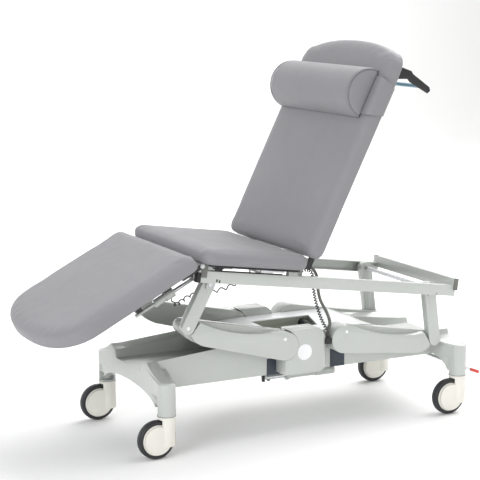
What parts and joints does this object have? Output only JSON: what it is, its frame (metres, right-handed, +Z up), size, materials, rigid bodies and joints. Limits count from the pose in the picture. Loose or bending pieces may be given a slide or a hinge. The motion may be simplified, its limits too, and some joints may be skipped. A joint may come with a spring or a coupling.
{
  "type": "treatment trolley",
  "caption": "Three-section upholstered treatment trolley on swivel castors, with lifting arms, a tilting top frame, folding backrest and leg section, and a sliding head bolster.",
  "frame": {"origin": "on the floor under the middle of the bounding box", "axes": "+X from the foot end to the head end, +Y to the far side, +Z up"},
  "size_m": [1.5949, 0.608, 1.303],
  "materials": {
    "pearl_enamel": "satin",
    "cover_white": "satin",
    "castor_cream": "satin",
    "tyre_rubber": "matte",
    "anthracite_plate": "satin",
    "black_plastic": "matte",
    "black_steel": "satin",
    "bright_steel": "satin",
    "red_plastic": "satin",
    "grey_upholstery": "matte",
    "cable_grey": "matte"
  },
  "bodies": {
    "base": {"chassis": "pearl_enamel", "top_cover": "cover_white", "fairing_near": "pearl_enamel", "fairing_far": "pearl_enamel", "foot_pivot_plate_near": "anthracite_plate", "foot_pivot_plate_far": "anthracite_plate", "head_pivot_plate_near": "anthracite_plate", "head_pivot_plate_far": "anthracite_plate", "badge_disc": "cover_white", "lift_actuator": "pearl_enamel", "cable_gland": "black_plastic"},
    "castor_foot_near": {"castor_housing_foot_near": "castor_cream"},
    "wheel_foot_near": {"tyre_foot_near": "tyre_rubber", "hub_foot_near": "castor_cream"},
    "castor_foot_far": {"castor_housing_foot_far": "castor_cream"},
    "wheel_foot_far": {"tyre_foot_far": "tyre_rubber", "hub_foot_far": "castor_cream"},
    "castor_head_near": {"castor_housing_head_near": "castor_cream"},
    "wheel_head_near": {"tyre_head_near": "tyre_rubber", "hub_head_near": "castor_cream"},
    "castor_head_far": {"castor_housing_head_far": "castor_cream"},
    "wheel_head_far": {"tyre_head_far": "tyre_rubber", "hub_head_far": "castor_cream"},
    "brake": {"brake_bar": "bright_steel", "brake_pedal": "red_plastic"},
    "foot_arms": {"foot_arm_near": "pearl_enamel", "foot_arm_far": "pearl_enamel", "foot_shaft": "black_steel"},
    "lift_rod": {"lift_rod": "bright_steel"},
    "foot_links": {"foot_link_near": "pearl_enamel", "foot_link_far": "pearl_enamel", "link_shaft": "bright_steel"},
    "head_shaft": {"head_shaft": "black_steel"},
    "head_arms": {"head_arm_near": "pearl_enamel", "head_arm_far": "pearl_enamel"},
    "head_pins": {"head_pin_near": "bright_steel", "head_pin_far": "bright_steel"},
    "head_links": {"head_link_near": "pearl_enamel", "head_link_far": "pearl_enamel", "roller_shaft": "bright_steel"},
    "top_frame": {"top_frame": "pearl_enamel", "rail_cap_near": "black_plastic", "rail_cap_far": "black_plastic", "seat_board": "black_plastic", "seat_pad": "grey_upholstery", "back_actuator": "pearl_enamel", "leg_cable": "cable_grey"},
    "back_rod": {"back_rod": "bright_steel"},
    "leg_section": {"leg_frame": "black_steel", "leg_pad": "grey_upholstery", "leg_actuator": "pearl_enamel"},
    "leg_rod": {"leg_rod": "bright_steel"},
    "backrest": {"back_frame": "black_steel", "back_board": "black_plastic", "back_pad": "grey_upholstery", "roll_holder": "black_steel", "bolster_strap": "grey_upholstery"},
    "bolster": {"head_bolster": "grey_upholstery"},
    "cables": {"coiled_cable": "cable_grey", "cable_conduit": "cable_grey"}
  },
  "joints": [
    {"name": "swivel_foot_near", "type": "hinge", "parent": "base", "child": "castor_foot_near", "pos_m": [-0.4075, -0.247, 0.137], "axis": [0, 0, 1], "continuous": true},
    {"name": "roll_foot_near", "type": "hinge", "parent": "castor_foot_near", "child": "wheel_foot_near", "pos_m": [-0.4445, -0.247, 0.0625], "axis": [0, 1, 0], "continuous": true},
    {"name": "swivel_foot_far", "type": "hinge", "parent": "base", "child": "castor_foot_far", "pos_m": [-0.4075, 0.247, 0.137], "axis": [0, 0, 1], "continuous": true},
    {"name": "roll_foot_far", "type": "hinge", "parent": "castor_foot_far", "child": "wheel_foot_far", "pos_m": [-0.4445, 0.247, 0.0625], "axis": [0, 1, 0], "continuous": true},
    {"name": "swivel_head_near", "type": "hinge", "parent": "base", "child": "castor_head_near", "pos_m": [0.7135, -0.247, 0.137], "axis": [0, 0, 1], "continuous": true},
    {"name": "roll_head_near", "type": "hinge", "parent": "castor_head_near", "child": "wheel_head_near", "pos_m": [0.6765, -0.247, 0.0625], "axis": [0, 1, 0], "continuous": true},
    {"name": "swivel_head_far", "type": "hinge", "parent": "base", "child": "castor_head_far", "pos_m": [0.7135, 0.247, 0.137], "axis": [0, 0, 1], "continuous": true},
    {"name": "roll_head_far", "type": "hinge", "parent": "castor_head_far", "child": "wheel_head_far", "pos_m": [0.6765, 0.247, 0.0625], "axis": [0, 1, 0], "continuous": true},
    {"name": "brake", "type": "hinge", "parent": "base", "child": "brake", "pos_m": [0.7135, 0, 0.17], "axis": [0, 1, 0], "range_deg": [-15, 10]},
    {"name": "lift", "type": "hinge", "parent": "base", "child": "foot_arms", "pos_m": [0.0395, 0, 0.306], "axis": [0, 1, 0], "range_deg": [-14, 22]},
    {"name": "lift_rod", "type": "slide", "parent": "base", "child": "lift_rod", "axis": [1, 0, 0], "range_m": [-0.0556, 0.0354]},
    {"name": "foot_link", "type": "hinge", "parent": "foot_arms", "child": "foot_links", "pos_m": [-0.31704, 0, 0.40488], "axis": [0, -1, 0], "range_deg": [-14, 22]},
    {"name": "tilt", "type": "hinge", "parent": "foot_links", "child": "top_frame", "pos_m": [-0.24237, 0, 0.54298], "axis": [0, -1, 0], "range_deg": [-2, 8]},
    {"name": "head_shaft", "type": "hinge", "parent": "base", "child": "head_shaft", "pos_m": [0.2655, 0, 0.306], "axis": [0, -1, 0], "range_deg": [-13.28, 20.86]},
    {"name": "head_arms", "type": "hinge", "parent": "head_shaft", "child": "head_arms", "pos_m": [0.2655, 0, 0.306], "axis": [0, -1, 0], "range_deg": [-4.65, 18.56]},
    {"name": "head_pins", "type": "hinge", "parent": "head_arms", "child": "head_pins", "pos_m": [0.63327, 0, 0.2654], "axis": [0, -1, 0], "range_deg": [-26.69, 16.99]},
    {"name": "head_links", "type": "hinge", "parent": "head_pins", "child": "head_links", "pos_m": [0.63327, 0, 0.2654], "axis": [0, -1, 0], "range_deg": [-17.93, 4.49]},
    {"name": "back", "type": "hinge", "parent": "top_frame", "child": "backrest", "pos_m": [0.10205, 0, 0.5794], "axis": [0, 1, 0], "range_deg": [0, 70]},
    {"name": "back_rod", "type": "slide", "parent": "top_frame", "child": "back_rod", "axis": [-0.9903, 0, 0.1392], "range_m": [-0.0005, 0.0682]},
    {"name": "leg", "type": "hinge", "parent": "top_frame", "child": "leg_section", "pos_m": [-0.2824, 0, 0.61021], "axis": [0, 1, 0], "range_deg": [-14, 35.3], "deforming": ["leg_cable"]},
    {"name": "leg_rod", "type": "slide", "parent": "leg_section", "child": "leg_rod", "axis": [0.8886, 0, 0.4586], "range_m": [-0.0141, 0.0328]},
    {"name": "bolster", "type": "slide", "parent": "backrest", "child": "bolster", "axis": [0.4446, 0, 0.8957], "range_m": [-0.06, 0.06]},
    {"name": "cables", "type": "slide", "parent": "base", "child": "cables", "axis": [0.363, 0, 0.9318], "range_m": [-0.0895, 0.1402], "deforming": ["coiled_cable", "cable_conduit"]}
  ],
  "couplings": [
    {"joint": "lift_rod", "follows": "lift", "m_per_rad": -0.1445},
    {"joint": "foot_link", "follows": "lift", "ratio": 1},
    {"joint": "head_shaft", "follows": "lift", "ratio": 0.9475},
    {"joint": "head_arms", "follows": "tilt", "ratio": 2.3187},
    {"joint": "head_pins", "follows": "lift", "ratio": -1.2127},
    {"joint": "head_links", "follows": "tilt", "ratio": -2.2394},
    {"joint": "back_rod", "follows": "back", "m_per_rad": 0.0554},
    {"joint": "leg_rod", "follows": "leg", "m_per_rad": 0.053},
    {"joint": "cables", "follows": "lift", "m_per_rad": 0.3646}
  ]
}
